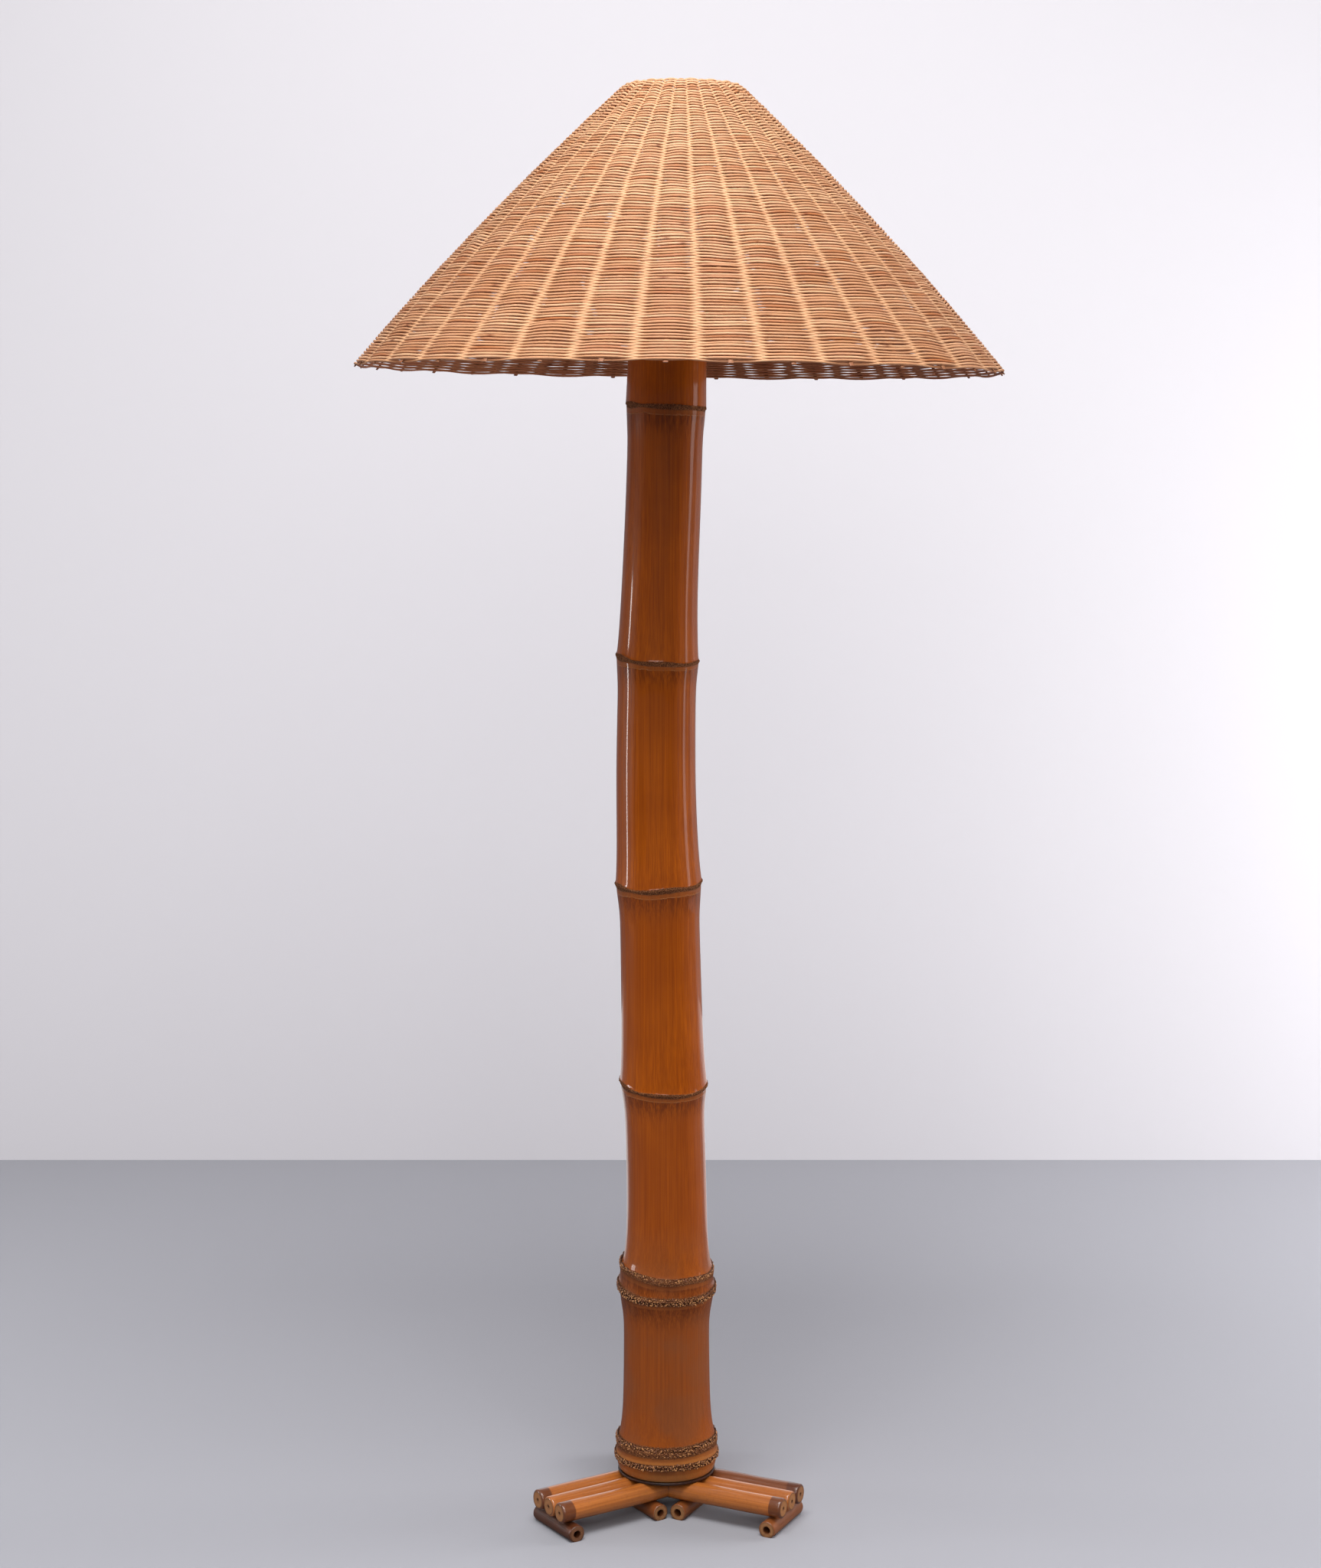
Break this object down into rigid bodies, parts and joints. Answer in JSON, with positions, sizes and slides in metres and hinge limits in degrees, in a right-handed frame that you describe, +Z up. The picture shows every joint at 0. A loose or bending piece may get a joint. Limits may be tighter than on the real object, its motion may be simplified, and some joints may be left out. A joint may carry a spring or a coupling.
{
  "type": "floor lamp",
  "caption": "Floor lamp with a bent bamboo culm, a three-legged cane foot and a wide woven rattan cone shade.",
  "frame": {"origin": "on the floor, under the centre of the shade's rim", "axes": "+Z up; +X to the right as the picture sees it; +Y to the back, towards the rear leg"},
  "size_m": [0.7951, 0.796, 1.7969],
  "materials": {
    "bamboo": "gloss lacquered bamboo, orange-brown",
    "cane": "satin lacquered cane, honey-orange",
    "rattan": "woven split rattan, dull, tan",
    "dark_wood": "dark stained wood",
    "plug_wood": "turned bare wood",
    "brass": "drawn and lacquered",
    "steel": "zinc plated",
    "aluminium": "rolled, bright",
    "black": "moulded, black",
    "fibre": "fibre sleeve",
    "opal_glass": "opal white"
  },
  "bodies": {
    "root": {"left_leg_cane_1": "cane", "left_leg_cane_2": "cane", "left_leg_cane_3": "cane", "left_inner_foot": "cane", "left_outer_foot": "cane", "left_foot_nail_1": "steel", "left_foot_nail_2": "steel", "left_foot_nail_3": "steel", "left_foot_nail_4": "steel", "left_base_screw": "steel", "right_leg_cane_1": "cane", "right_leg_cane_2": "cane", "right_leg_cane_3": "cane", "right_inner_foot": "cane", "right_outer_foot": "cane", "right_foot_nail_1": "steel", "right_foot_nail_2": "steel", "right_foot_nail_3": "steel", "right_foot_nail_4": "steel", "right_base_screw": "steel", "rear_leg_cane_1": "cane", "rear_leg_cane_2": "cane", "rear_leg_cane_3": "cane", "rear_inner_foot": "cane", "rear_outer_foot": "cane", "rear_foot_nail_1": "steel", "rear_foot_nail_2": "steel", "rear_foot_nail_3": "steel", "rear_foot_nail_4": "steel", "rear_base_screw": "steel", "base_disc": "dark_wood", "base_plug": "plug_wood", "culm": "bamboo", "cable_bush": "black", "top_plug": "plug_wood", "fixing_tube": "brass", "lower_nut": "brass", "washer": "brass", "upper_nut": "brass", "harp_saddle": "brass", "lampholder_cap": "brass", "lampholder_shell": "brass", "lampholder_liner": "fibre", "lampholder_core": "black", "screw_shell": "brass", "centre_contact": "brass", "left_terminal": "steel", "right_terminal": "steel"},
    "harp": {"harp": "brass"},
    "left_ferrule": {"left_ferrule": "brass"},
    "right_ferrule": {"right_ferrule": "brass"},
    "shade": {"shade_carrier": "steel", "shade_skin": "rattan"},
    "finial": {"finial": "brass"},
    "bulb": {"bulb_cap": "aluminium", "bulb_glass": "opal_glass", "bulb_stem": "steel"},
    "switch": {"switch_key": "black"}
  },
  "joints": [
    {"name": "harp_lift", "type": "slide", "parent": "root", "child": "harp", "axis": [0.0129, 0, 0.9999], "range_m": [0, 0.25]},
    {"name": "left_ferrule_lift", "type": "slide", "parent": "harp", "child": "left_ferrule", "axis": [0.0129, 0, 0.9999], "range_m": [0, 0.009]},
    {"name": "right_ferrule_lift", "type": "slide", "parent": "harp", "child": "right_ferrule", "axis": [0.0129, 0, 0.9999], "range_m": [0, 0.009]},
    {"name": "shade_turn", "type": "hinge", "parent": "harp", "child": "shade", "pos_m": [0.00408, 0, 1.76597], "axis": [0.0129, 0, 0.9999], "continuous": true},
    {"name": "finial_turn", "type": "hinge", "parent": "shade", "child": "finial", "pos_m": [0.00413, 0, 1.76997], "axis": [0.0129, 0, 0.9999], "continuous": true},
    {"name": "bulb_turn", "type": "hinge", "parent": "root", "child": "bulb", "pos_m": [0.00124, 0, 1.54599], "axis": [0.0129, 0, 0.9999], "continuous": true},
    {"name": "switch_turn", "type": "hinge", "parent": "root", "child": "switch", "pos_m": [0.00107, 0, 1.53279], "axis": [0, -1, 0], "continuous": true}
  ]
}
